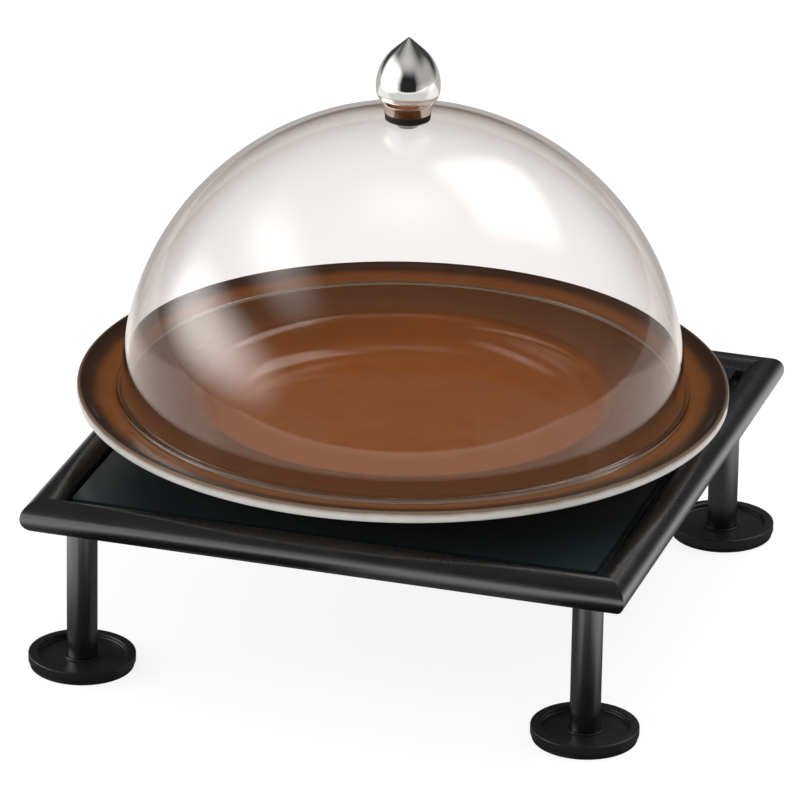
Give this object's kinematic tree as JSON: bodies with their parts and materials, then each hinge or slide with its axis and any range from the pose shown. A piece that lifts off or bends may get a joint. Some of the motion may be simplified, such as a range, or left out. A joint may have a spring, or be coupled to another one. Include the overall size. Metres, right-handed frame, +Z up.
{
  "type": "domed food display stand",
  "caption": "Clear hemispherical cover with a pointed metal knob on a deep round serving dish, standing on a square tube-framed riser with a dark glass panel and disc feet.",
  "frame": {"origin": "on the table, on the axis of the dome and the dish", "axes": "+Z up along the dome's axis; -Y is the front, the side that the picture looks at from a little to its right; the stand's sides lie along X and Y"},
  "size_m": [0.342, 0.342, 0.3161],
  "materials": {
    "clear_plastic": "clear, polished",
    "chrome": "mirror polished",
    "black_rubber": "matte",
    "steel": "satin",
    "brown_glaze": "glossy brown inside, pale outside",
    "dark_glass": "polished, back painted",
    "black_paint": "satin",
    "matte_black_paint": "matte"
  },
  "bodies": {
    "stand": {"rail_front": "black_paint", "rail_right": "black_paint", "rail_back": "black_paint", "rail_left": "black_paint", "ledge_front": "black_paint", "ledge_right": "black_paint", "ledge_back": "black_paint", "ledge_left": "black_paint", "panel_bumpers": "black_rubber", "leg_front_left": "black_paint", "leg_front_right": "black_paint", "leg_back_right": "black_paint", "leg_back_left": "black_paint", "foot_front_left": "matte_black_paint", "foot_front_right": "matte_black_paint", "foot_back_right": "matte_black_paint", "foot_back_left": "matte_black_paint", "pad_front_left": "black_rubber", "pad_front_right": "black_rubber", "pad_back_right": "black_rubber", "pad_back_left": "black_rubber", "leg_screws": "steel", "foot_screws": "steel"},
    "panel": {"glass_panel": "dark_glass"},
    "dish": {"serving_dish": "brown_glaze"},
    "dome": {"dome_shell": "clear_plastic", "knob_finial": "chrome", "knob_cup": "chrome", "knob_collar": "chrome", "knob_gasket": "black_rubber", "knob_screw": "steel", "inner_washer": "steel"}
  },
  "joints": [
    {"name": "panel_lift", "type": "slide", "parent": "stand", "child": "panel", "axis": [0, 0, 1], "range_m": [0, 0.06]},
    {"name": "dish_lift", "type": "slide", "parent": "panel", "child": "dish", "axis": [0, 0, 1], "range_m": [0, 0.1]},
    {"name": "dome_lift", "type": "slide", "parent": "dish", "child": "dome", "axis": [0, 0, 1], "range_m": [0, 0.2]}
  ]
}
